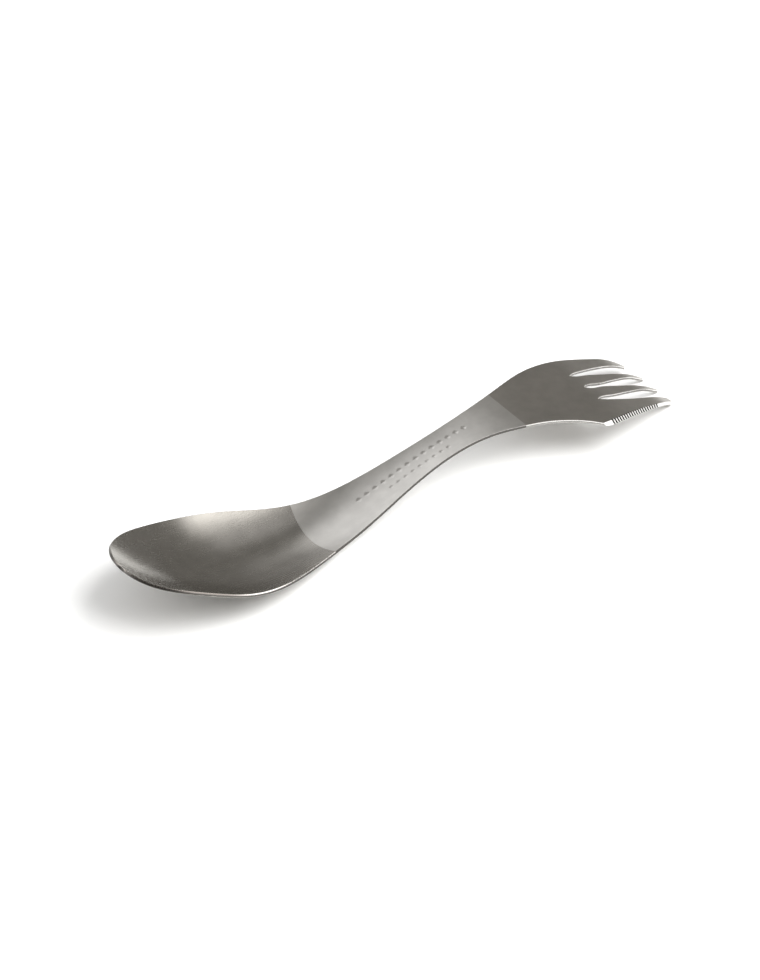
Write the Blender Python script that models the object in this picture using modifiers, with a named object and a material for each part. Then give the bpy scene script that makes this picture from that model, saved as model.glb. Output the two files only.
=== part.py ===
"""Camping spork pressed from one piece of titanium sheet: a spoon at one end, a fork at the other.

The spork lies along X with the spoon at -X and the fork at +X, the serrated cutting tine at -Y, and
+Z up. It stands on z = 0, on the keel of the spoon and the tips of the tines. The driving dimensions
are in millimetres, measured along the spork from the tip of the spoon, and across it from the middle.
"""

import math

import bmesh
import bpy
import numpy as np
from mathutils import Matrix, Vector

MM = 0.001
THICKNESS = 0.85
TINE_TIP = 170.1

# The middle of the overall length: the sheet's lower edge reaches a little past the tip of the spoon.
MIDDLE = 84.69

# Height of the upper face along the rim: the spoon's tip, the low neck, the arched shoulder, the tines.
RIM_HEIGHT = [(0, 18.7), (12, 14.65), (27, 9.1), (42, 5.9), (57, 3.85), (70, 4.75), (86, 8.8),
              (102, 12.6), (121, 13.8), (136, 12.0), (148, 9.7), (158, 6.6), (166, 3.5), (170.1, 0.83)]

# The hollow sinks below the rim as DEPTH * t * (1 - t) ** FADE, t going from 0 at the tip to 1 at END.
HOLLOW_DEPTH = 69.0
HOLLOW_FADE = 3.33
HOLLOW_END = 104.0

# A faint hollow carries on along the neck of the handle: it grows from START to FULL and is gone at END.
NECK_HOLLOW = 0.33
NECK_HOLLOW_START = 72.0
NECK_HOLLOW_FULL = 88.0
NECK_HOLLOW_FADE = 96.0
NECK_HOLLOW_END = 121.0

# Half the width of the spoon and the handle, then of each side of the fork.
SPOON_AND_HANDLE = [(0, 0), (2.5, 8.6), (7.7, 13.2), (18, 16.9), (29, 18.7), (41, 17.1), (57, 11.65),
                    (74, 7.9), (90, 5.75), (102, 5.3), (112, 6.2), (121.4, 8.3)]
ROUND_SHOULDER = [(129, 10.85), (137, 13.25), (145, 14.05), (153, 13.8), (161, 12.75), (166, 11.3),
                  (170.1, 8.6)]
CUTTING_SHOULDER = [(129, 10.2), (134, 12.3), (138.2, 14.85), (141.0, 17.35)]

# The shoulder ends in a barb, and the cutting edge runs from it almost straight to the tip of its tine.
# Its ground bevel starts at BEVEL_LINE on the upper face and falls by DROP, and grooves across it leave
# the teeth.
CUTTING_EDGE = [(141.0, 17.35), (143, 17.7), (146, 17.25), (151, 15.95), (157, 14.35), (163.5, 12.55),
                (167, 11.3), (170.1, 9.9)]
BEVEL_LINE = [(141.0, 16.85), (146, 16.1), (152, 14.7), (158, 13.25), (164, 12.0), (170.1, 9.5)]
BEVEL_DROP = 0.78
FIRST_GROOVE = 143.75
GROOVE_PITCH = 0.966
GROOVES = 20
GROOVE_DEPTH = 0.26

# Slots, drawn on the +Y side: the slot's root, the outer tine's edge from it and round the tine's tip,
# and the inner tine's edge back to it. The cutting tine on the -Y side has a blunter tip.
OUTER_SLOT_ROOT = (147.0, 6.2)
ROUND_TINE_EDGE = [(147.7, 6.6), (152, 7.75), (157, 8.45), (162, 8.75), (166, 8.8), (167.9, 8.95),
                   (168.6, 9.25), (168.5, 9.75), (167.8, 10.4), (167.0, 11.0)]
CUTTING_TINE_EDGE = [(147.7, 6.6), (152, 7.75), (157, 8.45), (162, 8.75), (166, 8.5), (168.6, 8.1),
                     (169.8, 8.2), (170.0, 8.9), (169.5, 9.9), (168.6, 10.9)]
INNER_TINE_EDGE = [(170.1, 3.3), (169.3, 3.6), (166, 4.0), (162, 4.4), (157, 4.9), (152, 5.35),
                   (148, 5.7)]
MIDDLE_SLOT_ROOT = (147.3, 0.0)
MIDDLE_TINE_EDGE = [(148, 0.6), (152, 0.9), (157, 1.45), (162, 2.05), (166, 2.5), (168.8, 2.7),
                    (170.1, 3.0)]

# Rows of stamped lozenges on the handle: the row's middle and side offset, then the lozenges' number,
# spacing and half-length.
STAMPED_ROWS = [(91.0, 1.1, 14, 2.6, 0.85), (91.5, -2.0, 9, 2.3, 0.7)]
STAMP_DEPTH = 0.12

# The foot is dressed by a block whose top is at z = 0.
FOOT_MIDDLE = 48.0
FOOT_BLOCK = 30.0

# How far the cutters reach past what they cut: above and below, beyond the tips and beyond the side.
# The bevel's ribbon starts and ends at these shares of the bevel's width, 0 its inner line, 1 the edge.
CUTTER_REACH = 30.0
PAST_THE_TIPS = 173.0
PAST_THE_SIDE = 14.5
PAST_THE_EDGE_ENDS = 0.8
RIBBON_SIDES = (-0.6, 2.2)
RIBBON_THICKNESS = 3.0
GROOVE_LENGTH = 2.6

# Mesh resolution.
NOSE_LENGTH = 12.0
NOSE_STATIONS = 8
BODY_STATION_STEP = 3.0
FORK_STATIONS = 14
CELLS_ACROSS = 14
RIBBON_STATIONS = 19
SLOT_EDGE_POINTS = 14
OUTER_TINE_POINTS = 20
SLOPE_STEP = 0.1
WELD_DISTANCE = 1e-6

TITANIUM_COLOUR = (0.42, 0.40, 0.37, 1.0)
TITANIUM_ROUGHNESS = 0.38


def smooth_curve(points):
    """Return the natural cubic curve y(x) through the points, as a function."""
    x, y = np.array(points, float).T
    step = np.diff(x)
    slope = np.diff(y) / step
    system = np.eye(len(x))
    bend = np.zeros(len(x))
    for i in range(1, len(x) - 1):
        system[i, i - 1:i + 2] = step[i - 1], 2 * (step[i - 1] + step[i]), step[i]
        bend[i] = 6 * (slope[i] - slope[i - 1])
    bend = np.linalg.solve(system, bend)

    def value(q):
        i = int(np.clip(np.searchsorted(x, q) - 1, 0, len(step) - 1))
        after = q - x[i]
        before = x[i + 1] - q
        cubic = (bend[i] * before ** 3 + bend[i + 1] * after ** 3) / (6 * step[i])
        left = (y[i] / step[i] - bend[i] * step[i] / 6) * before
        right = (y[i + 1] / step[i] - bend[i + 1] * step[i] / 6) * after
        return float(cubic + left + right)

    return value


def smooth_path(points, count):
    """Return count points on the smooth plan path through the points, ends included."""
    corners = np.array(points, float)
    travel = np.r_[0, np.cumsum(np.linalg.norm(np.diff(corners, axis=0), axis=1))]
    x = smooth_curve(list(zip(travel, corners[:, 0])))
    y = smooth_curve(list(zip(travel, corners[:, 1])))
    return [(x(t), y(t)) for t in np.linspace(0, travel[-1], count)]


def outline_curve(points):
    """Return a half-width function of the distance along the spork that starts in a round nose at 0."""
    by_root = smooth_curve([(math.sqrt(x), y) for x, y in points])
    return lambda x: max(by_root(math.sqrt(x)), 0.0)


BARB = CUTTING_EDGE[0][0]
rim_height = smooth_curve(RIM_HEIGHT)
cutting_edge = smooth_curve(CUTTING_EDGE)
bevel_line = smooth_curve(BEVEL_LINE)
round_side = outline_curve(SPOON_AND_HANDLE + ROUND_SHOULDER)
shoulder_side = outline_curve(SPOON_AND_HANDLE + CUTTING_SHOULDER)


def cutting_side(x):
    """Half-width on the cutting side: the shoulder up to the barb, then the cutting edge."""
    return shoulder_side(x) if x <= BARB else cutting_edge(x)


def smooth_step(x, start, end):
    """Rise smoothly from 0 at start to 1 at end."""
    t = min(max((x - start) / (end - start), 0.0), 1.0)
    return t * t * (3 - 2 * t)


def hollow(x):
    """Depth of the middle of the sheet below its rim."""
    t = min(x / HOLLOW_END, 1.0)
    growing = smooth_step(x, NECK_HOLLOW_START, NECK_HOLLOW_FULL)
    fading = smooth_step(x, NECK_HOLLOW_END, NECK_HOLLOW_FADE)
    return HOLLOW_DEPTH * t * (1 - t) ** HOLLOW_FADE + NECK_HOLLOW * growing * fading


def upper_face(x, y):
    """Height of the upper face at a point of the plan."""
    half_width = cutting_side(x) if y < 0 else round_side(x)
    across = y / half_width if half_width > 0 else 1.0
    return rim_height(x) - hollow(x) * (1 - across ** 2)


def rim_slope(x):
    return (rim_height(x + SLOPE_STEP) - rim_height(x - SLOPE_STEP)) / (2 * SLOPE_STEP)


def place(x, y, z):
    """Turn millimetres from the spoon's tip into metres about the middle of the spork."""
    return Vector((x - MIDDLE, y, z)) * MM


def stations():
    """Distances along the spork at which the sheet has a row of points."""
    nose = np.linspace(0, math.sqrt(NOSE_LENGTH), NOSE_STATIONS + 1) ** 2
    rows = round((BARB - NOSE_LENGTH) / BODY_STATION_STEP)
    body = np.linspace(NOSE_LENGTH, BARB, rows + 1)
    fork = np.linspace(BARB, TINE_TIP, FORK_STATIONS + 1)
    return np.r_[nose, body[1:], fork[1:]]


def new_collection(name):
    collection = bpy.data.collections.new(name)
    bpy.context.scene.collection.children.link(collection)
    return collection


def mesh_object(name, bm, collection):
    mesh = bpy.data.meshes.new(name)
    bm.to_mesh(mesh)
    bm.free()
    piece = bpy.data.objects.new(name, mesh)
    collection.objects.link(piece)
    return piece


def grid_surface(name, rows, columns, point, collection):
    """Make an open sheet of rows by columns points, each moved to point(row, column)."""
    bm = bmesh.new()
    bmesh.ops.create_grid(bm, x_segments=rows - 1, y_segments=columns - 1, size=1.0)
    for vertex in bm.verts:
        row = round((vertex.co.x + 1) / 2 * (rows - 1))
        column = round((vertex.co.y + 1) / 2 * (columns - 1))
        vertex.co = point(row, column)
    bmesh.ops.remove_doubles(bm, verts=bm.verts, dist=WELD_DISTANCE)
    bmesh.ops.recalc_face_normals(bm, faces=bm.faces)
    if sum(face.normal.z for face in bm.faces) < 0:
        bmesh.ops.reverse_faces(bm, faces=bm.faces)
    return mesh_object(name, bm, collection)


def thicken(piece, thickness, side):
    """Give an open sheet its thickness, on the side away from (-1) or towards (+1) its normals."""
    solidify = piece.modifiers.new("thickness", "SOLIDIFY")
    solidify.thickness = thickness * MM
    solidify.offset = side
    solidify.use_even_offset = True
    solidify.use_quality_normals = True


def cut(piece, cutter):
    boolean = piece.modifiers.new("cut " + cutter.name, "BOOLEAN")
    boolean.operation = "DIFFERENCE"
    boolean.object = cutter


def titanium():
    material = bpy.data.materials.new("titanium")
    material.use_nodes = True
    shader = material.node_tree.nodes["Principled BSDF"]
    shader.inputs["Base Color"].default_value = TITANIUM_COLOUR
    shader.inputs["Metallic"].default_value = 1.0
    shader.inputs["Roughness"].default_value = TITANIUM_ROUGHNESS
    return material


def pressed_sheet(collection):
    """The whole spork before cutting: one sheet, shaped along its length and hollowed across."""
    rows = stations()

    def point(row, column):
        x = rows[row]
        side = 2 * column / CELLS_ACROSS - 1
        y = side * (cutting_side(x) if side < 0 else round_side(x))
        return place(x, y, upper_face(x, y))

    sheet = grid_surface("spork", len(rows), CELLS_ACROSS + 1, point, collection)
    sheet.data.materials.append(titanium())
    thicken(sheet, THICKNESS, -1)
    return sheet


def plan_cutter(name, outline, collection):
    """A vertical cutter with the given plan outline."""
    curve = bpy.data.curves.new(name, "CURVE")
    curve.dimensions = "2D"
    curve.fill_mode = "BOTH"
    curve.extrude = CUTTER_REACH * MM
    spline = curve.splines.new("POLY")
    spline.points.add(len(outline) - 1)
    for point, (x, y) in zip(spline.points, outline):
        point.co = (*place(x, y, 0), 1)
    spline.use_cyclic_u = True
    flat = bpy.data.objects.new(name + "_outline", curve)
    collection.objects.link(flat)
    evaluated = flat.evaluated_get(bpy.context.evaluated_depsgraph_get())
    bm = bmesh.new()
    bm.from_mesh(bpy.data.meshes.new_from_object(evaluated))
    bmesh.ops.remove_doubles(bm, verts=bm.verts, dist=WELD_DISTANCE)
    bmesh.ops.recalc_face_normals(bm, faces=bm.faces)
    cutter = mesh_object(name, bm, collection)
    bpy.data.objects.remove(flat)
    return cutter


def outer_slot(tine_edge):
    """Plan outline, on the +Y side, of an outer slot and of the space round its outer tine's tip."""
    outer_tine = smooth_path([OUTER_SLOT_ROOT] + tine_edge, OUTER_TINE_POINTS)
    inner_tine = smooth_path(INNER_TINE_EDGE + [OUTER_SLOT_ROOT], SLOT_EDGE_POINTS)
    last_x = outer_tine[-1][0]
    mouth = inner_tine[0][1]
    around = [(last_x, PAST_THE_SIDE), (PAST_THE_TIPS, PAST_THE_SIDE), (PAST_THE_TIPS, mouth)]
    return outer_tine + around + inner_tine[:-1]


def slot_cutters(collection):
    """One cutter for the middle slot and one for each outer slot, which also round the tines' tips."""
    side = smooth_path([MIDDLE_SLOT_ROOT] + MIDDLE_TINE_EDGE, SLOT_EDGE_POINTS)
    mouth = side[-1][1]
    mirrored = [(x, -y) for x, y in reversed(side[1:])]
    middle = side + [(PAST_THE_TIPS, mouth), (PAST_THE_TIPS, -mouth)] + mirrored
    cutting = [(x, -y) for x, y in outer_slot(CUTTING_TINE_EDGE)]
    return [
        plan_cutter("middle_slot", middle, collection),
        plan_cutter("round_side_slot", outer_slot(ROUND_TINE_EDGE), collection),
        plan_cutter("cutting_side_slot", cutting, collection),
    ]


def on_bevel(x, share):
    """Point of the ground bevel at distance x: share 0 is its inner line, 1 the cutting edge."""
    y = bevel_line(x) + (cutting_edge(x) - bevel_line(x)) * share
    return place(x, -y, rim_height(x) - BEVEL_DROP * share)


def edge_bevel_cutter(collection):
    """The ground bevel: a slanting ribbon that follows the cutting edge, thick on its outer side."""
    distances = np.linspace(BARB - PAST_THE_EDGE_ENDS, TINE_TIP + PAST_THE_EDGE_ENDS, RIBBON_STATIONS)

    def point(row, column):
        return on_bevel(distances[row], RIBBON_SIDES[column])

    ribbon = grid_surface("edge_bevel", RIBBON_STATIONS, 2, point, collection)
    thicken(ribbon, RIBBON_THICKNESS, 1)
    return ribbon


def groove_cutter(collection):
    """The serrations: a row of small four-sided prisms lying square across the bevel."""
    radius = GROOVE_DEPTH * MM
    bm = bmesh.new()
    for i in range(GROOVES):
        x = FIRST_GROOVE + i * GROOVE_PITCH
        across = on_bevel(x, 1) - on_bevel(x, 0)
        turn = across.to_track_quat("Z", "X").to_matrix().to_4x4()
        where = Matrix.Translation(on_bevel(x, 1))
        bmesh.ops.create_cone(bm, cap_ends=True, segments=4, radius1=radius, radius2=radius,
                              depth=GROOVE_LENGTH * MM, matrix=where @ turn)
    return mesh_object("grooves", bm, collection)


def stamp_cutter(collection):
    """The stamped lozenges: shallow four-sided points pressed into the handle's upper face."""
    bm = bmesh.new()
    for middle, y, count, pitch, half_length in STAMPED_ROWS:
        for i in range(count):
            x = middle + (i - (count - 1) / 2) * pitch
            tilt = Matrix.Rotation(-math.atan(rim_slope(x)), 4, "Y")
            where = Matrix.Translation(place(x, y, upper_face(x, y)))
            bmesh.ops.create_cone(bm, cap_ends=True, segments=4, radius1=0, radius2=2 * half_length * MM,
                                  depth=2 * STAMP_DEPTH * MM, matrix=where @ tilt)
    return mesh_object("stamps", bm, collection)


def foot_cutter(collection):
    """A block under z = 0 that dresses the lowest part of the keel to a small flat."""
    bm = bmesh.new()
    where = Matrix.Translation(place(FOOT_MIDDLE, 0, -FOOT_BLOCK / 2))
    bmesh.ops.create_cube(bm, size=FOOT_BLOCK * MM, matrix=where)
    return mesh_object("foot", bm, collection)


def clear_scene():
    for old in list(bpy.data.objects):
        bpy.data.objects.remove(old)


def main():
    clear_scene()
    parts = new_collection("spork")
    cutters = new_collection("cutters")
    spork = pressed_sheet(parts)
    tools = slot_cutters(cutters)
    tools.append(edge_bevel_cutter(cutters))
    tools.append(groove_cutter(cutters))
    tools.append(stamp_cutter(cutters))
    tools.append(foot_cutter(cutters))
    for tool in tools:
        tool.hide_render = True
        tool.display_type = "WIRE"
        cut(spork, tool)


main()
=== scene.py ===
"""Looks of a camping spork pressed from one piece of titanium sheet.

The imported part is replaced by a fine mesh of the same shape, with rounded edges, ground grooves and
stamped lozenges, and with the three finishes of the real thing: a polished spoon, a bead-blasted handle
and a satin fork. The spork's dimensions repeat those of the part, in millimetres measured along it from
the spoon's tip, and across it from the middle. The camera, the lights and the tabletop are in metres in
the frame.
"""

import math

import bpy
import numpy as np
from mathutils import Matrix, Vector, geometry, kdtree


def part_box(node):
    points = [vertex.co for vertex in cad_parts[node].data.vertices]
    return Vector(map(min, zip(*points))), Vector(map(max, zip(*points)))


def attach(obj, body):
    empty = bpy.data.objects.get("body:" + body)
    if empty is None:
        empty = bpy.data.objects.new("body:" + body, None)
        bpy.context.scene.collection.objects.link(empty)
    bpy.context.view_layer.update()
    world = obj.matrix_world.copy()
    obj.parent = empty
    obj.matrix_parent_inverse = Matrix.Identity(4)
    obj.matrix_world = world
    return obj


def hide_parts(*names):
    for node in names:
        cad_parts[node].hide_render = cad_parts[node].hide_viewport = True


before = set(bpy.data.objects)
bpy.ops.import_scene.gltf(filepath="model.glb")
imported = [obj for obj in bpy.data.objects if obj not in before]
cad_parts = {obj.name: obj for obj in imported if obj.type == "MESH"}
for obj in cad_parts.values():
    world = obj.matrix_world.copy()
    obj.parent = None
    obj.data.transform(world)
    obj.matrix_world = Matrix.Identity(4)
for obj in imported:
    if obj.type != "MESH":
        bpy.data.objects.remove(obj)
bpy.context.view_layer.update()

MM = 0.001
THICKNESS = 0.85
TINE_TIP = 170.1
MIDDLE = TINE_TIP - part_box("spork")[1].x / MM

# Height of the upper face along the rim, and how far the spoon's hollow sinks below it. A second, very
# shallow hollow runs along the neck.
RIM_HEIGHT = [(0, 18.7), (12, 14.65), (27, 9.1), (42, 5.9), (57, 3.85), (70, 4.75), (86, 8.8),
              (102, 12.6), (121, 13.8), (136, 12.0), (148, 9.7), (158, 6.6), (166, 3.5), (170.1, 0.83)]
HOLLOW_DEPTH = 69.0
HOLLOW_FADE = 3.33
HOLLOW_END = 104.0
NECK_HOLLOW = 0.33
NECK_HOLLOW_START = 72.0
NECK_HOLLOW_FULL = 88.0
NECK_HOLLOW_FADE = 96.0
NECK_HOLLOW_END = 121.0

# Half the width of the spoon and the handle, then of each side of the fork.
SPOON_AND_HANDLE = [(0, 0), (2.5, 8.6), (7.7, 13.2), (18, 16.9), (29, 18.7), (41, 17.1), (57, 11.65),
                    (74, 7.9), (90, 5.75), (102, 5.3), (112, 6.2), (121.4, 8.3)]
ROUND_SHOULDER = [(129, 10.85), (137, 13.25), (145, 14.05), (153, 13.8), (161, 12.75), (166, 11.3),
                  (170.1, 8.6)]
CUTTING_SHOULDER = [(129, 10.2), (134, 12.3), (138.2, 14.85), (141.0, 17.35)]

# The cutting edge, the inner line of its ground bevel and the grooves across it.
CUTTING_EDGE = [(141.0, 17.35), (143, 17.7), (146, 17.25), (151, 15.95), (157, 14.35), (163.5, 12.55),
                (167, 11.3), (170.1, 9.9)]
BEVEL_LINE = [(141.0, 16.85), (146, 16.1), (152, 14.7), (158, 13.25), (164, 12.0), (170.1, 9.5)]
BEVEL_DROP = 0.78
BEVEL_LEAD = 0.8
FIRST_GROOVE = 143.75
GROOVE_PITCH = 0.966
GROOVES = 20
GROOVE_DEPTH = 0.26
GROOVE_HALF_WIDTH = 0.27
EDGE_LEFT = 0.05

# Slots on the +Y side: an outer slot's root, the outer tine's edge and the inner tine's edge.
OUTER_SLOT_ROOT = (147.0, 6.2)
ROUND_TINE_EDGE = [(147.7, 6.6), (152, 7.75), (157, 8.45), (162, 8.75), (166, 8.8), (167.9, 8.95),
                   (168.6, 9.25), (168.5, 9.75), (167.8, 10.4), (167.0, 11.0)]
CUTTING_TINE_EDGE = [(147.7, 6.6), (152, 7.75), (157, 8.45), (162, 8.75), (166, 8.5), (168.6, 8.1),
                     (169.8, 8.2), (170.0, 8.9), (169.5, 9.9), (168.6, 10.9)]
INNER_TINE_EDGE = [(170.1, 3.3), (169.3, 3.6), (166, 4.0), (162, 4.4), (157, 4.9), (152, 5.35),
                   (148, 5.7)]
MIDDLE_SLOT_ROOT = (147.3, 0.0)
MIDDLE_TINE_EDGE = [(148, 0.6), (152, 0.9), (157, 1.45), (162, 2.05), (166, 2.5), (168.8, 2.7),
                    (170.1, 3.0)]

# Rows of stamped lozenges: the row's middle and side offset, their number, spacing and half-length. Each
# sinks steeply over the width of its wall, then gently to a point.
STAMPED_ROWS = [(91.0, 1.1, 14, 2.6, 0.85), (91.5, -2.0, 9, 2.3, 0.7)]
STAMP_DEPTH = 0.12
STAMP_WALL = 0.38
STAMP_WALL_DEPTH = 0.09

# Edges are rounded by this radius, which fades to nothing at the cutting edge. The rounding has this
# many steps, and a ring this many radii further in keeps it off the rest of the face.
EDGE_RADIUS = 0.07
EDGE_FADE = 1.5
ROUND_STEPS = 4
BORDER_RING = 1.5

# The lower face lies square below the upper one up to the first distance, and straight below it from the
# second one on.
STRAIGHT_FROM = 136.0
STRAIGHT_TO = 141.0

# Mesh resolution: spacings, and how clear of each other the kinds of points stay.
OUTLINE_STEP = 0.33
OUTLINE_FINE_STEP = 0.16
GRID_STEP = 0.52
GRID_HALF_WIDTH = 19.0
GRID_CLEARANCE = 0.38
STAMP_CLEARANCE = 0.45
BEVEL_CLEARANCE = 0.05
BEVEL_MARGIN = 1.3
RING_CLEARANCE_SHARE = 0.85
SHARPEST_RADIUS = 0.0035
TREE_STEP = 0.02
SAME_POINT = 1e-6
DENSE_POINTS = 1500
GROOVE_OFFSETS = [GROOVE_HALF_WIDTH * i / 3 for i in range(-3, 4)] + [GROOVE_PITCH / 2]
BEVEL_SHARES = 17
BEVEL_INNER_SHARE = -0.6
STAMP_SIDE_POINTS = 9
SLOPE_STEP = 0.05
SHARP_ANGLE = 33.0

# Material slots of the mesh, after the sheet's own, and how deep a groove is where its recess starts.
GROUND = 1
RECESS = 2
BEVEL = 3
RECESS_FROM = 0.01

# Where the finishes meet: the spoon's polish ends in an arc, the fork's satin in a straight line.
SPOON_BORDER = 57.0
SPOON_BORDER_TILT = 0.08
SPOON_BORDER_BEND = 0.0109
FORK_BORDER = 121.4
BORDER_SOFTNESS = 0.06

# The faces of the sheet.
SPOON_COLOUR = (0.425, 0.408, 0.38, 1.0)
HANDLE_COLOUR = (0.66, 0.645, 0.62, 1.0)
FORK_COLOUR = (0.47, 0.448, 0.418, 1.0)
SPOON_ROUGHNESS = 0.26
HANDLE_ROUGHNESS = 0.36
FORK_ROUGHNESS = 0.36

# Wear inside the spoon: flecks are strongest by the neck on the far side.
FLECKS = 0.13
MORE_FLECKS = 0.5
FLECKS_FROM_X = 36.0
FLECKS_FULL_X = 46.0
FLECKS_FROM_Y = 2.0
FLECKS_FULL_Y = 10.0

# The cut edge: its burnished upper band, its torn lower band, and the dark line between them. Painted shade
# darkens the upper band round the spoon's tip and along the handle, and the lower band on the spoon and the
# handle. The bands' places are shares of the thickness.
SPOON_EDGE = (0.80, 0.77, 0.74, 1.0)
# Painted shade on the upper band round the spoon's tip.
PAINTED_TIP_SHADE = (0.20, 0.18, 0.165, 1.0)
# Painted shade on the upper band along the handle.
PAINTED_HANDLE_EDGE_SHADE = (0.12, 0.115, 0.108, 1.0)
FORK_EDGE = (0.78, 0.77, 0.75, 1.0)
TORN_EDGE = (0.42, 0.41, 0.39, 1.0)
# Painted shade on the lower band of the spoon and the handle.
PAINTED_TORN_EDGE_SHADE = (0.09, 0.085, 0.08, 1.0)
TORN_LINE_COLOUR = (0.10, 0.095, 0.09, 1.0)
PAINTED_TIP_SHADE_TO = 20.0
SPOON_EDGE_FROM = 31.0
TORN_BAND = 0.58
TORN_BAND_SOFTNESS = 0.06
TORN_LINE = 0.50
TORN_LINE_FULL = 0.07
TORN_LINE_FADE = 0.13

# The ground bevel, and the grooves across it with painted shade in them.
BEVEL_COLOUR = (0.72, 0.71, 0.69, 1.0)
BEVEL_METALLIC = 0.35
# Painted shade: the grooves are near black, standing for the shade deep in them.
RECESS_SHADE_DARK = (0.02, 0.02, 0.02, 1.0)
RECESS_SHADE_LIGHT = (0.05, 0.048, 0.045, 1.0)

# Heights of the bumps in the finishes, in metres.
FLECK_HEIGHT = 0.00002
FINE_HEIGHT = 0.00001

# The camera, the two lights that light the tabletop, and the tabletop.
CAMERA_AZIMUTH = -36.078
CAMERA_ELEVATION = 38.0
CAMERA_DISTANCE = 1.19510
CAMERA_AIM = Vector((-0.00463, 0.0, 0.00603))
CAMERA_LENS = 168.98
KEY_DIRECTION = Vector((0.50, -0.58, 1.0))
KEY_DISTANCE = 2.4
KEY_SIZE = 2.0
KEY_POWER = 73.0
FILL_HEIGHT = 2.0
FILL_SIZE = 14.0
FILL_POWER = 500.0
FLOOR_RADIUS = 1.6
FLOOR_POINTS = 96
FLOOR_COLOUR = (0.93, 0.93, 0.92, 1.0)

# The studio as the metal mirrors it: a dim room, a soft box above the front right, a window low at the
# front right and one far to the back left, and a panel with a low and a high card behind the spork, under
# a dark ceiling. Each is a direction, its glow, and the angles at which it fades out and is full. The
# later ones in STUDIO_LIGHTS cover the earlier ones.
ROOM = (0.24, 0.232, 0.217, 1.0)
SOFT_BOX = (Vector((0.450, -0.425, 0.785)), (2.7, 2.67, 2.62, 1.0), 28.0, 5.0)
FRONT_WINDOW = (Vector((0.536, -0.712, 0.454)), (3.0, 2.98, 2.95, 1.0), 27.0, 18.0)
BACK_WINDOW = (Vector((-0.776, 0.606, 0.174)), (3.0, 3.0, 3.0, 1.0), 31.0, 20.0)
BACK_PANEL = (Vector((0.04, 0.80, 0.60)), (1.13, 1.13, 1.13, 1.0), 27.0, 15.0)
LOW_CARD = (Vector((0.136, 0.969, 0.208)), (0.85, 0.85, 0.85, 1.0), 20.0, 8.0)
HIGH_CARD = (Vector((0.402, 0.131, 0.906)), (0.72, 0.71, 0.70, 1.0), 15.0, 3.0)
DARK_CEILING = (Vector((0.148, 0.212, 0.966)), (0.12, 0.12, 0.11, 1.0), 18.0, 6.0)
STUDIO_LIGHTS = (DARK_CEILING, LOW_CARD, BACK_PANEL, BACK_WINDOW, HIGH_CARD, FRONT_WINDOW, SOFT_BOX)


def smooth_curve(points):
    """Return the natural cubic curve y(x) through the points, as a function of arrays."""
    x, y = np.array(points, float).T
    step = np.diff(x)
    slope = np.diff(y) / step
    system = np.eye(len(x))
    bend = np.zeros(len(x))
    for i in range(1, len(x) - 1):
        system[i, i - 1:i + 2] = step[i - 1], 2 * (step[i - 1] + step[i]), step[i]
        bend[i] = 6 * (slope[i] - slope[i - 1])
    bend = np.linalg.solve(system, bend)

    def value(q):
        i = np.clip(np.searchsorted(x, q) - 1, 0, len(step) - 1)
        after = q - x[i]
        before = x[i + 1] - q
        cubic = (bend[i] * before ** 3 + bend[i + 1] * after ** 3) / (6 * step[i])
        left = (y[i] / step[i] - bend[i] * step[i] / 6) * before
        right = (y[i + 1] / step[i] - bend[i + 1] * step[i] / 6) * after
        return cubic + left + right

    return value


def smooth_path(points, count):
    """Return count points on the smooth plan path through the points, ends included."""
    corners = np.array(points, float)
    travel = np.r_[0, np.cumsum(np.linalg.norm(np.diff(corners, axis=0), axis=1))]
    along = np.linspace(0, travel[-1], count)
    x = smooth_curve(list(zip(travel, corners[:, 0])))
    y = smooth_curve(list(zip(travel, corners[:, 1])))
    return np.column_stack([x(along), y(along)])


def outline_curve(points):
    """Return a half-width function of the distance along the spork that starts in a round nose at 0."""
    by_root = smooth_curve([(math.sqrt(x), y) for x, y in points])
    return lambda x: np.maximum(by_root(np.sqrt(np.maximum(x, 0))), 0)


BARB = CUTTING_EDGE[0][0]
rim_height = smooth_curve(RIM_HEIGHT)
cutting_edge = smooth_curve(CUTTING_EDGE)
bevel_line = smooth_curve(BEVEL_LINE)
round_side = outline_curve(SPOON_AND_HANDLE + ROUND_SHOULDER)
shoulder_side = outline_curve(SPOON_AND_HANDLE + CUTTING_SHOULDER)


def cutting_side(x):
    """Half-width on the cutting side: the shoulder up to the barb, then the cutting edge."""
    return np.where(x <= BARB, shoulder_side(x), cutting_edge(x))


def smooth_step(value, start, end):
    """0 up to the start, 1 from the end on, and a smooth rise between them."""
    t = np.clip((value - start) / (end - start), 0, 1)
    return t * t * (3 - 2 * t)


def hollow(x):
    """Depth of the middle of the sheet below its rim."""
    t = np.minimum(x / HOLLOW_END, 1.0)
    growing = smooth_step(x, NECK_HOLLOW_START, NECK_HOLLOW_FULL)
    fading = smooth_step(x, NECK_HOLLOW_END, NECK_HOLLOW_FADE)
    return HOLLOW_DEPTH * t * (1 - t) ** HOLLOW_FADE + NECK_HOLLOW * growing * fading


def upper_face(x, y):
    """Height of the upper face at points of the plan, before the bevel and the stamps."""
    x = np.maximum(x, SLOPE_STEP)
    half_width = np.where(y < 0, cutting_side(x), round_side(x))
    return rim_height(x) - hollow(x) * (1 - (y / half_width) ** 2)


def slopes(x, y):
    """Slopes of the upper face along and across the spork."""
    along = (upper_face(x + SLOPE_STEP, y) - upper_face(x - SLOPE_STEP, y)) / (2 * SLOPE_STEP)
    across = (upper_face(x, y + SLOPE_STEP) - upper_face(x, y - SLOPE_STEP)) / (2 * SLOPE_STEP)
    return along, across


def bevel_share(x, y):
    """0 on the bevel's inner line, 1 on the cutting edge."""
    line = bevel_line(x)
    return (-y - line) / (cutting_edge(x) - line)


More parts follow.
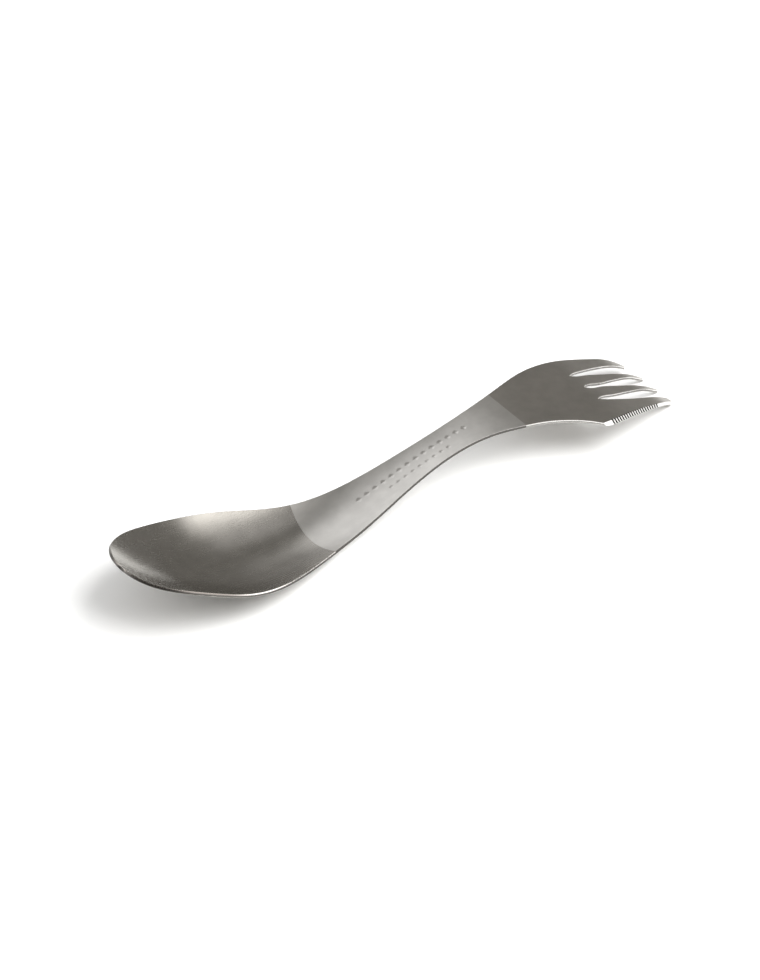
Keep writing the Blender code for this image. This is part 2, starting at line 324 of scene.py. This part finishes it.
def groove_depth(x):
    """Vertical depth of the grooves below the ground bevel."""
    number = np.clip(np.round((x - FIRST_GROOVE) / GROOVE_PITCH), 0, GROOVES - 1)
    aside = np.abs(x - FIRST_GROOVE - number * GROOVE_PITCH)
    width = cutting_edge(x) - bevel_line(x)
    slant = np.sqrt(1 + (BEVEL_DROP / width) ** 2)
    return GROOVE_DEPTH * slant * np.maximum(1 - aside / GROOVE_HALF_WIDTH, 0)


def bevel_sink(x, y):
    """How far the ground bevel and its grooves sink the upper face."""
    share = bevel_share(x, y)
    ground = BEVEL_DROP * share
    sink = np.maximum(np.maximum(ground, ground + groove_depth(x)), 0)
    return np.where((y < 0) & (x > BARB - BEVEL_LEAD), sink, 0)


def stamp_centres():
    """The middle and half-length of each stamped lozenge."""
    for middle, y, count, pitch, half_length in STAMPED_ROWS:
        for i in range(count):
            yield middle + (i - (count - 1) / 2) * pitch, y, half_length


def stamp_sink(x, y):
    """How far the lozenges sink the upper face."""
    sink = np.zeros_like(x)
    for centre_x, centre_y, half_length in stamp_centres():
        inwards = half_length - np.abs(x - centre_x) - np.abs(y - centre_y)
        sink += np.interp(inwards, [0, STAMP_WALL, half_length], [0, STAMP_WALL_DEPTH, STAMP_DEPTH])
    return sink


def evenly(path, spacing):
    """Resample a path to points a steady spacing apart, keeping its ends."""
    travel = np.r_[0, np.cumsum(np.linalg.norm(np.diff(path, axis=0), axis=1))]
    along = np.linspace(0, travel[-1], max(2, round(travel[-1] / spacing) + 1))
    return np.column_stack([np.interp(along, travel, path[:, 0]), np.interp(along, travel, path[:, 1])])


def up_to_side(path, side):
    """Cut a tine's edge where it leaves the sheet through its side."""
    first_out = np.nonzero(path[:, 1] >= side(path[:, 0]))[0][0]
    x = path[first_out, 0]
    return np.vstack([path[:first_out], [x, side(x)]])


def side_path(side, end):
    """A side of the spork from the spoon's tip to the given distance."""
    x = np.linspace(0, math.sqrt(end), DENSE_POINTS) ** 2
    return np.column_stack([x, side(x)])


def mirrored(path):
    """The same path on the other side of the spork."""
    return path * (1, -1)


def groove_stations(end):
    """Distances along the cutting edge: steps across each groove, the middle between grooves, and plain
    steps before and after them."""
    grooves = FIRST_GROOVE + GROOVE_PITCH * np.arange(GROOVES)
    rows = (grooves[:, None] + GROOVE_OFFSETS).ravel()
    before = np.arange(BARB, rows[0] - OUTLINE_FINE_STEP, OUTLINE_FINE_STEP)
    after = np.arange(rows[-1] + OUTLINE_FINE_STEP, end, OUTLINE_FINE_STEP)
    return np.r_[before, rows, after]


def toothed_edge(end):
    """The cutting edge in plan, notched where a groove is deeper than the metal left by the bevel."""
    x = np.r_[groove_stations(end), end]
    along, _ = slopes(x, -cutting_edge(x))
    metal = THICKNESS * np.sqrt(1 + along ** 2)
    open_share = np.minimum((metal - EDGE_LEFT - groove_depth(x)) / BEVEL_DROP, 1)
    y = bevel_line(x) + (cutting_edge(x) - bevel_line(x)) * open_share
    return np.column_stack([x, -y])


def plan_outline():
    """The outline in plan, counter-clockwise from the spoon's tip, and which points are on the teeth."""
    round_tine = up_to_side(smooth_path([OUTER_SLOT_ROOT] + ROUND_TINE_EDGE, DENSE_POINTS), round_side)
    cutting_tine = smooth_path([OUTER_SLOT_ROOT] + CUTTING_TINE_EDGE, DENSE_POINTS)
    cutting_tine = mirrored(up_to_side(cutting_tine, cutting_edge))
    inner_tine = smooth_path(INNER_TINE_EDGE + [OUTER_SLOT_ROOT], DENSE_POINTS)
    middle_tine = smooth_path([MIDDLE_SLOT_ROOT] + MIDDLE_TINE_EDGE, DENSE_POINTS)
    teeth = toothed_edge(cutting_tine[-1, 0])
    stretches = [
        evenly(mirrored(side_path(shoulder_side, BARB)), OUTLINE_STEP),
        teeth,
        evenly(cutting_tine[::-1], OUTLINE_FINE_STEP),
        evenly(mirrored(inner_tine[::-1]), OUTLINE_FINE_STEP),
        evenly(mirrored(middle_tine[::-1]), OUTLINE_FINE_STEP),
        evenly(middle_tine, OUTLINE_FINE_STEP),
        evenly(inner_tine, OUTLINE_FINE_STEP),
        evenly(round_tine, OUTLINE_FINE_STEP),
        evenly(side_path(round_side, round_tine[-1, 0])[::-1], OUTLINE_STEP),
    ]
    outline = np.vstack(stretches)
    on_teeth = np.concatenate([np.full(len(s), s is teeth) for s in stretches])
    keep = np.linalg.norm(outline - np.roll(outline, 1, axis=0), axis=1) > SAME_POINT
    return outline[keep], on_teeth[keep]


def inward_normals(outline):
    """Unit vectors in plan that point into the outline at each of its points."""
    tangent = np.roll(outline, -1, axis=0) - np.roll(outline, 1, axis=0)
    tangent /= np.linalg.norm(tangent, axis=1)[:, None]
    return np.column_stack([-tangent[:, 1], tangent[:, 0]])


def nearest(tree, points):
    """Distance from each point to the nearest one in the tree."""
    return np.array([tree.find((x, y, 0))[2] for x, y in points])


def plan_tree(points):
    """A search tree over points of the plan."""
    tree = kdtree.KDTree(len(points))
    for i, (x, y) in enumerate(points):
        tree.insert((x, y, 0), i)
    tree.balance()
    return tree


def inside(outline, points):
    """Which points lie inside the outline, by counting crossings to the right."""
    ends = np.roll(outline, -1, axis=0)
    result = np.zeros(len(points), bool)
    for (x0, y0), (x1, y1) in zip(outline, ends):
        if y0 == y1:
            continue
        spans = (points[:, 1] >= min(y0, y1)) & (points[:, 1] < max(y0, y1))
        crossing = x0 + (points[spans, 1] - y0) * (x1 - x0) / (y1 - y0)
        result[spans] ^= crossing > points[spans, 0]
    return result


def edge_radii(outline, on_teeth):
    """Radius of the rounded edge at each outline point: none on the teeth, fading in beside them."""
    teeth = plan_tree(outline[on_teeth])
    return EDGE_RADIUS * smooth_step(nearest(teeth, outline), 0, EDGE_FADE)


def edge_rings(outline, radii, tree):
    """Points of the rounded edge inside the outline, and how far each drops below the surface."""
    normals = inward_normals(outline)
    along, across = slopes(outline[:, 0], outline[:, 1])
    foreshortening = 1 / np.sqrt(1 + (along * normals[:, 0] + across * normals[:, 1]) ** 2)
    points = []
    drops = []
    turns = [step / ROUND_STEPS * math.pi / 2 for step in range(1, ROUND_STEPS + 1)]
    profile = [(1 - math.cos(turn), 1 - math.sin(turn)) for turn in turns] + [(BORDER_RING, 0)]
    rounded = radii > SHARPEST_RADIUS
    for inset, drop in profile:
        distance = radii * inset * foreshortening
        ring = outline + normals * distance[:, None]
        clear = rounded & (nearest(tree, ring) > RING_CLEARANCE_SHARE * distance)
        points.append(ring[clear])
        drops.append(radii[clear] * drop)
    return np.vstack(points), np.concatenate(drops)


def bevel_points(end):
    """Points in rows across the ground bevel, along each groove's middle and sides."""
    x = groove_stations(end)
    shares = np.linspace(BEVEL_INNER_SHARE, 1, BEVEL_SHARES)
    rows, columns = np.meshgrid(x, shares, indexing="ij")
    line = bevel_line(rows)
    y = -(line + (cutting_edge(rows) - line) * columns)
    return np.column_stack([rows.ravel(), y.ravel()])


def stamp_points():
    """Points round each lozenge, along its edge and the foot of its wall, and over its middle."""
    share = np.linspace(0, 1, STAMP_SIDE_POINTS, endpoint=False)
    side = np.column_stack([1 - share, share])
    square = np.vstack([side, np.column_stack([-side[:, 1], side[:, 0]]), -side,
                        np.column_stack([side[:, 1], -side[:, 0]])])
    points = []
    for x, y, half_length in stamp_centres():
        sizes = [half_length + STAMP_WALL, half_length, half_length - STAMP_WALL]
        points += [square * size + (x, y) for size in sizes]
        points.append(np.array([(x, y)]))
    return np.vstack(points)


def grid_points(tree):
    """A triangular grid over the plan, clear of the outline, the bevel and the stamps."""
    rows = np.arange(-GRID_HALF_WIDTH, GRID_HALF_WIDTH, GRID_STEP * math.sqrt(3) / 2)
    columns = np.arange(0, TINE_TIP, GRID_STEP)
    x, y = np.meshgrid(columns, rows)
    x = x + np.where(np.arange(len(rows)) % 2, GRID_STEP / 2, 0)[:, None]
    points = np.column_stack([x.ravel(), y.ravel()])
    by_bevel = bevel_share(*points.T) > BEVEL_INNER_SHARE * BEVEL_MARGIN
    points = points[~(by_bevel & (points[:, 0] > BARB) & (points[:, 1] < 0))]
    points = points[nearest(tree, points) > GRID_CLEARANCE]
    for centre_x, centre_y, half_length in stamp_centres():
        away = np.abs(points[:, 0] - centre_x) + np.abs(points[:, 1] - centre_y)
        points = points[away > half_length + STAMP_CLEARANCE]
    return points


def plan_points():
    """All points of the plan, each one's drop at the rounded edge, and the outline's teeth and radii.
    The outline's points come first."""
    outline, on_teeth = plan_outline()
    tree = plan_tree(evenly(np.vstack([outline, outline[:1]]), TREE_STEP))
    radii = edge_radii(outline, on_teeth)
    rings, ring_drops = edge_rings(outline, radii, tree)
    bevel = bevel_points(outline[on_teeth][-1, 0])
    bevel = bevel[nearest(tree, bevel) > BEVEL_CLEARANCE]
    free = np.vstack([bevel, stamp_points(), grid_points(tree)])
    free = free[inside(outline, free)]
    rings_inside = inside(outline, rings)
    plan = np.vstack([outline, rings[rings_inside], free])
    drops = np.concatenate([radii, ring_drops[rings_inside], np.zeros(len(free))])
    return plan, drops, on_teeth, radii


def triangulated(plan, count):
    """Triangles over the plan within the outline, which is its first count points."""
    flat = [Vector(p) for p in plan.tolist()]
    result = geometry.delaunay_2d_cdt(flat, [], [list(range(count))], 1, 1e-7)
    source = [ids[0] for ids in result[3]]
    return np.array([[source[i] for i in face] for face in result[2]])


def sheet_faces(plan, drops):
    """Points of the upper and the lower face over the plan."""
    x, y = plan.T
    along, across = slopes(x, y)
    length = np.sqrt(1 + along ** 2 + across ** 2)
    square = np.column_stack([-along, -across, np.ones_like(x)]) / length[:, None]
    straight = np.column_stack([np.zeros_like(x), np.zeros_like(x), length])
    share = smooth_step(x, STRAIGHT_FROM, STRAIGHT_TO)[:, None]
    down = square * (1 - share) + straight * share
    surface = np.column_stack([x - MIDDLE, y, upper_face(x, y)])
    top = surface - down * drops[:, None]
    top[:, 2] -= bevel_sink(x, y) + stamp_sink(x, y)
    bottom = surface - down * (THICKNESS - drops)[:, None]
    bottom[:, 2] = np.maximum(bottom[:, 2], 0)
    return top, bottom


def face_finishes(plan, triangles, outline, on_teeth):
    """Material slot of each face: the upper triangles, the lower ones, then the walls."""
    x, y = plan[triangles].mean(axis=1).T
    ground = (bevel_share(x, y) > 0) & (y < 0) & (x > BARB - BEVEL_LEAD)
    in_groove = (bevel_sink(x, y) > 0) & (groove_depth(x) > RECESS_FROM) & (y < 0) & (x > BARB)
    wall_middle = (outline + np.roll(outline, -1, axis=0)) / 2
    wall_in_groove = on_teeth & (groove_depth(wall_middle[:, 0]) > RECESS_FROM)
    upper = np.where(in_groove, RECESS, ground * BEVEL)
    walls = np.where(wall_in_groove, RECESS, GROUND)
    return np.concatenate([upper, np.zeros(len(triangles), int), walls])


def sheet_mesh():
    """The whole spork as a closed mesh: its two faces share one triangulation of the plan."""
    plan, drops, on_teeth, radii = plan_points()
    count = len(radii)
    below = len(plan)
    triangles = triangulated(plan, count)
    top, bottom = sheet_faces(plan, drops)
    edge = np.arange(count)
    after = np.roll(edge, -1)
    walls = np.column_stack([edge, edge + below, after + below, after])
    faces = triangles.tolist() + (triangles[:, ::-1] + below).tolist() + walls.tolist()
    finish = face_finishes(plan, triangles, plan[:count], on_teeth)
    mesh = bpy.data.meshes.new("spork_sheet")
    mesh.from_pydata((np.vstack([top, bottom]) * MM).tolist(), [], faces)
    mesh.polygons.foreach_set("material_index", finish.astype(np.int32))
    depth = np.zeros(below)
    depth[:count] = radii / THICKNESS
    attribute = mesh.attributes.new("wall_depth", "FLOAT", "POINT")
    attribute.data.foreach_set("value", np.concatenate([depth, 1 - depth]).astype(np.float32))
    mesh.polygons.foreach_set("use_smooth", np.ones(len(faces), bool))
    mesh.set_sharp_from_angle(angle=math.radians(SHARP_ANGLE))
    mesh.update()
    return mesh


class Nodes:
    """Adds nodes to a material or the world, and joins them."""

    def __init__(self, tree):
        self.tree = tree

    def add(self, kind, **settings):
        node = self.tree.nodes.new(kind)
        for name, value in settings.items():
            setattr(node, name, value)
        return node

    def feed(self, socket, value):
        if isinstance(value, bpy.types.NodeSocket):
            self.tree.links.new(value, socket)
        else:
            socket.default_value = value

    def axes(self, place):
        """The x and y of a place."""
        node = self.add("ShaderNodeSeparateXYZ")
        self.feed(node.inputs[0], place)
        return node.outputs[0], node.outputs[1]

    def math(self, operation, *values):
        node = self.add("ShaderNodeMath", operation=operation)
        for socket, value in zip(node.inputs, values):
            self.feed(socket, value)
        return node.outputs[0]

    def product(self, first, second):
        return self.math("MULTIPLY", first, second)

    def ramp(self, value, low, high, to_low=0.0, to_high=1.0):
        node = self.add("ShaderNodeMapRange", interpolation_type="SMOOTHSTEP")
        for socket, given in zip(node.inputs, (value, low, high, to_low, to_high)):
            self.feed(socket, given)
        return node.outputs[0]

    def blend(self, share, first, second, kind="FLOAT"):
        node = self.add("ShaderNodeMix", data_type=kind)
        sockets = [s for s in node.inputs if s.enabled]
        for socket, value in zip(sockets, (share, first, second)):
            self.feed(socket, value)
        return next(s for s in node.outputs if s.enabled)

    def noise(self, place, scale, detail=2.0, stretch=None):
        if stretch is not None:
            mapping = self.add("ShaderNodeMapping")
            self.feed(mapping.inputs["Vector"], place)
            mapping.inputs["Scale"].default_value = stretch
            place = mapping.outputs[0]
        node = self.add("ShaderNodeTexNoise")
        self.feed(node.inputs["Vector"], place)
        node.inputs["Scale"].default_value = scale
        node.inputs["Detail"].default_value = detail
        return node.outputs[0]

    def bump(self, height, distance, strength, normal=None):
        node = self.add("ShaderNodeBump")
        self.feed(node.inputs["Height"], height)
        node.inputs["Distance"].default_value = distance
        self.feed(node.inputs["Strength"], strength)
        if normal is not None:
            self.feed(node.inputs["Normal"], normal)
        return node.outputs[0]


def new_metal(name):
    """A material with one metallic Principled shader, its nodes and the place on the object."""
    material = bpy.data.materials.new(name)
    material.use_nodes = True
    nodes = Nodes(material.node_tree)
    shader = material.node_tree.nodes["Principled BSDF"]
    shader.inputs["Metallic"].default_value = 1.0
    place = nodes.add("ShaderNodeTexCoord").outputs["Object"]
    return material, nodes, shader, place


def frame_x(x):
    """Place in the frame, in metres, of a distance along the spork."""
    return (x - MIDDLE) * MM


def zone_masks(nodes, place):
    """1 on the fork, and 1 on the spoon, each falling to 0 over a narrow border."""
    x, y = nodes.axes(place)
    soft = BORDER_SOFTNESS * MM
    fork_x = frame_x(FORK_BORDER)
    on_fork = nodes.ramp(x, fork_x - soft, fork_x + soft)
    bend = nodes.math("MULTIPLY_ADD", y, SPOON_BORDER_BEND / MM, SPOON_BORDER_TILT)
    from_spoon = nodes.math("SUBTRACT", x, nodes.product(y, bend))
    spoon_x = frame_x(SPOON_BORDER)
    on_spoon = nodes.ramp(from_spoon, spoon_x + soft, spoon_x - soft)
    return on_fork, on_spoon


def sheet_finish():
    """Polished spoon, bead-blasted handle and satin fork, parted by where they are on the sheet."""
    material, nodes, shader, place = new_metal("titanium_sheet")
    on_fork, on_spoon = zone_masks(nodes, place)
    mottle = nodes.noise(place, 320, detail=4.0)
    cloud = nodes.noise(place, 90, detail=3.0)
    colour = nodes.blend(on_fork, HANDLE_COLOUR, FORK_COLOUR, "RGBA")
    colour = nodes.blend(on_spoon, colour, SPOON_COLOUR, "RGBA")
    tone = nodes.ramp(mottle, 0.25, 0.75, 0.94, 1.04)
    tone = nodes.product(tone, nodes.ramp(cloud, 0.25, 0.75, 0.95, 1.04))
    toned = nodes.add("ShaderNodeVectorMath", operation="SCALE")
    nodes.feed(toned.inputs[0], colour)
    nodes.feed(toned.inputs["Scale"], tone)
    nodes.feed(shader.inputs["Base Color"], toned.outputs[0])

    scratches = nodes.noise(place, 500, detail=3.0, stretch=(0.25, 3.0, 1.0))
    rough = nodes.blend(on_fork, HANDLE_ROUGHNESS, FORK_ROUGHNESS)
    rough = nodes.blend(on_spoon, rough, SPOON_ROUGHNESS)
    rough = nodes.math("ADD", rough, nodes.ramp(scratches, 0.3, 0.75, -0.012, 0.02))
    nodes.feed(shader.inputs["Roughness"], rough)

    x, y = nodes.axes(place)
    by_the_neck = nodes.ramp(x, frame_x(FLECKS_FROM_X), frame_x(FLECKS_FULL_X))
    far_side = nodes.ramp(y, FLECKS_FROM_Y * MM, FLECKS_FULL_Y * MM)
    fleck_strength = nodes.math("MULTIPLY_ADD", nodes.product(by_the_neck, far_side), MORE_FLECKS, FLECKS)
    ripple = nodes.noise(place, 2300, detail=1.0)
    pits = nodes.ramp(nodes.noise(place, 3400, detail=0.0), 0.66, 0.76)
    flecks = nodes.math("MULTIPLY_ADD", pits, -0.5, ripple)
    normal = nodes.bump(flecks, FLECK_HEIGHT, nodes.product(on_spoon, fleck_strength))
    grain = nodes.noise(place, 7000)
    grain_strength = nodes.math("SUBTRACT", 0.5, nodes.product(on_spoon, 0.5))
    nodes.feed(shader.inputs["Normal"], nodes.bump(grain, FINE_HEIGHT, grain_strength, normal))
    return material


def ground_finish():
    """Bare metal of the cut edges. A burnished upper band and a torn lower one run round the edge,
    brightest on the polished spoon. Painted shade darkens the upper band round the spoon's tip and along
    the handle, and the lower band on the spoon and the handle."""
    material, nodes, shader, place = new_metal("titanium_ground")
    on_fork, on_spoon = zone_masks(nodes, place)
    depth = nodes.add("ShaderNodeAttribute", attribute_name="wall_depth").outputs["Fac"]
    torn = nodes.ramp(depth, TORN_BAND - TORN_BAND_SOFTNESS, TORN_BAND + TORN_BAND_SOFTNESS)
    x, _ = nodes.axes(place)
    # Painted shade round the spoon's tip, fading out past it.
    past_tip = nodes.ramp(x, frame_x(PAINTED_TIP_SHADE_TO), frame_x(SPOON_EDGE_FROM))
    rim = nodes.blend(past_tip, PAINTED_TIP_SHADE, SPOON_EDGE, "RGBA")
    # Painted shade on the handle's upper band.
    burnished = nodes.blend(on_fork, PAINTED_HANDLE_EDGE_SHADE, FORK_EDGE, "RGBA")
    burnished = nodes.blend(on_spoon, burnished, rim, "RGBA")
    # Painted shade on the lower band of the spoon and the handle.
    torn_band_and_shade = nodes.blend(on_fork, PAINTED_TORN_EDGE_SHADE, TORN_EDGE, "RGBA")
    colour = nodes.blend(torn, burnished, torn_band_and_shade, "RGBA")
    from_line = nodes.math("ABSOLUTE", nodes.math("SUBTRACT", depth, TORN_LINE))
    line = nodes.ramp(from_line, TORN_LINE_FADE, TORN_LINE_FULL)
    nodes.feed(shader.inputs["Base Color"], nodes.blend(line, colour, TORN_LINE_COLOUR, "RGBA"))

    marks = nodes.noise(place, 2500, stretch=(1.0, 1.0, 0.15))
    smooth = nodes.ramp(marks, 0.3, 0.7, 0.24, 0.34)
    nodes.feed(shader.inputs["Roughness"], nodes.math("ADD", smooth, nodes.product(torn, 0.15)))
    nodes.feed(shader.inputs["Normal"], nodes.bump(marks, FINE_HEIGHT, 0.12))
    return material


def recess_painted_shade():
    """The grooves between the teeth: rough metal painted near black, as painted shade deep in the grooves.
    """
    material, nodes, shader, place = new_metal("titanium_recess_painted_shade")
    recess_noise = nodes.noise(place, 5000)
    # Painted shade: near-black colour in the grooves.
    nodes.feed(shader.inputs["Base Color"], nodes.blend(recess_noise, RECESS_SHADE_DARK, RECESS_SHADE_LIGHT, "RGBA"))
    nodes.feed(shader.inputs["Roughness"], nodes.ramp(recess_noise, 0.3, 0.7, 0.5, 0.62))
    nodes.feed(shader.inputs["Normal"], nodes.bump(recess_noise, FINE_HEIGHT, 0.4))
    return material


def bevel_finish():
    """The ground bevel: fine crossed grinding marks make it shine almost evenly white."""
    material, nodes, shader, place = new_metal("titanium_bevel")
    marks = nodes.noise(place, 3000, stretch=(2.0, 0.4, 0.4))
    shader.inputs["Base Color"].default_value = BEVEL_COLOUR
    shader.inputs["Metallic"].default_value = BEVEL_METALLIC
    nodes.feed(shader.inputs["Roughness"], nodes.ramp(marks, 0.3, 0.7, 0.32, 0.42))
    nodes.feed(shader.inputs["Normal"], nodes.bump(marks, FINE_HEIGHT, 0.2))
    return material


def make_spork():
    mesh = sheet_mesh()
    for finish in (sheet_finish(), ground_finish(), recess_painted_shade(), bevel_finish()):
        mesh.materials.append(finish)
    spork = bpy.data.objects.new("spork_sheet", mesh)
    bpy.context.scene.collection.objects.link(spork)
    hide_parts("spork")
    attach(spork, "root")
    return spork


def make_floor():
    turns = np.linspace(0, 2 * math.pi, FLOOR_POINTS, endpoint=False)
    rim = [(FLOOR_RADIUS * math.cos(t), FLOOR_RADIUS * math.sin(t), 0) for t in turns]
    mesh = bpy.data.meshes.new("tabletop")
    mesh.from_pydata(rim, [], [list(range(FLOOR_POINTS))])
    material = bpy.data.materials.new("tabletop_white")
    material.use_nodes = True
    shader = material.node_tree.nodes["Principled BSDF"]
    shader.inputs["Base Color"].default_value = FLOOR_COLOUR
    shader.inputs["Roughness"].default_value = 0.8
    shader.inputs["Specular IOR Level"].default_value = 0.1
    mesh.materials.append(material)
    floor = bpy.data.objects.new("tabletop", mesh)
    bpy.context.scene.collection.objects.link(floor)


def aim(thing, place, target):
    """Put a light or a camera somewhere, looking at the target."""
    thing.location = place
    thing.rotation_euler = (Vector(target) - Vector(place)).to_track_quat("-Z", "Y").to_euler()


def add_soft_light(name, size, power, place):
    """A large square light over the tabletop that the metal doesn't mirror."""
    light = bpy.data.lights.new(name, "AREA")
    light.shape = "SQUARE"
    light.size = size
    light.energy = power
    lamp = bpy.data.objects.new(name, light)
    bpy.context.scene.collection.objects.link(lamp)
    lamp.visible_glossy = False
    aim(lamp, place, (0, 0, 0))


def make_lights():
    add_soft_light("key", KEY_SIZE, KEY_POWER, KEY_DIRECTION.normalized() * KEY_DISTANCE)
    add_soft_light("fill", FILL_SIZE, FILL_POWER, (0, 0, FILL_HEIGHT))


def make_world():
    world = bpy.data.worlds.new("studio")
    bpy.context.scene.world = world
    world.use_nodes = True
    world.cycles_visibility.diffuse = False
    nodes = Nodes(world.node_tree)
    direction = nodes.add("ShaderNodeTexCoord").outputs["Generated"]
    sky = ROOM
    for towards, glow, fade, full in STUDIO_LIGHTS:
        dot = nodes.add("ShaderNodeVectorMath", operation="DOT_PRODUCT")
        nodes.feed(dot.inputs[0], direction)
        nodes.feed(dot.inputs[1], towards.normalized())
        share = nodes.ramp(dot.outputs["Value"], math.cos(math.radians(fade)), math.cos(math.radians(full)))
        sky = nodes.blend(share, sky, glow, "RGBA")
    nodes.feed(world.node_tree.nodes["Background"].inputs["Color"], sky)


def make_camera():
    camera = bpy.data.cameras.new("camera")
    camera.lens = CAMERA_LENS
    camera.clip_start = 0.01
    camera.clip_end = 10.0
    viewer = bpy.data.objects.new("camera", camera)
    bpy.context.scene.collection.objects.link(viewer)
    azimuth = math.radians(CAMERA_AZIMUTH)
    elevation = math.radians(CAMERA_ELEVATION)
    back = Vector((math.sin(azimuth) * math.cos(elevation), -math.cos(azimuth) * math.cos(elevation),
                   math.sin(elevation)))
    aim(viewer, CAMERA_AIM + back * CAMERA_DISTANCE, CAMERA_AIM)
    bpy.context.scene.camera = viewer


bpy.context.scene.view_settings.view_transform = "Standard"
make_spork()
make_floor()
make_lights()
make_world()
make_camera()
